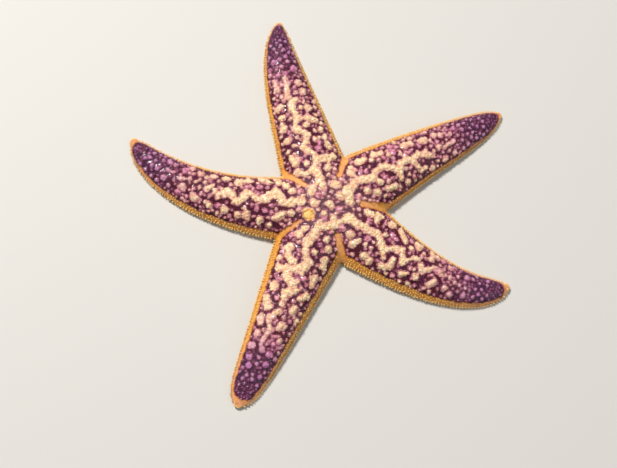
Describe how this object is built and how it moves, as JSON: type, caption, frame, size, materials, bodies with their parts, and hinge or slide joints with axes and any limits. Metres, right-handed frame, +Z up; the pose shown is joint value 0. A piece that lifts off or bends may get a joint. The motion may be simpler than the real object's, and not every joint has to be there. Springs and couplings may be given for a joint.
{
  "type": "starfish",
  "caption": "Life-size model of a northern Pacific sea star lying flat, its tapering arms bent as in life, with purple skin, cream blotches and orange margins.",
  "frame": {"origin": "on the ground, below the middle of the animal's extent", "axes": "+Z up, out of the upper (aboral) side; +Y along the longest extent, towards the tip of the arm whose base lies beyond the disc in +Y; +X across it"},
  "size_m": [0.2118, 0.2206, 0.017],
  "materials": {
    "skin": "wet, leathery skin, purple with cream blotches and orange margins",
    "spines": "chalky spines and granules, cream on the blotches, lilac at the tips and orange at the margins",
    "tube_feet": "soft, wet and slightly clear",
    "sieve_plate": "matt limestone with fine radiating grooves",
    "mouth_membrane": "soft, wet membrane",
    "eye": "glossy red pigment spot"
  },
  "bodies": {
    "root": {"disc": "skin", "sieve_plate": "sieve_plate", "mouth": "mouth_membrane", "arm_A_base": "skin", "arm_A_middle": "skin", "arm_A_tip": "skin", "arm_B_base": "skin", "arm_B_middle": "skin", "arm_B_tip": "skin", "arm_C_base": "skin", "arm_C_middle": "skin", "arm_C_tip": "skin", "arm_D_base": "skin", "arm_D_middle": "skin", "arm_D_tip": "skin", "arm_E_base": "skin", "arm_E_middle": "skin", "arm_E_tip": "skin", "eye_A": "eye", "eye_B": "eye", "eye_C": "eye", "eye_D": "eye", "eye_E": "eye"}
  },
  "joints": []
}
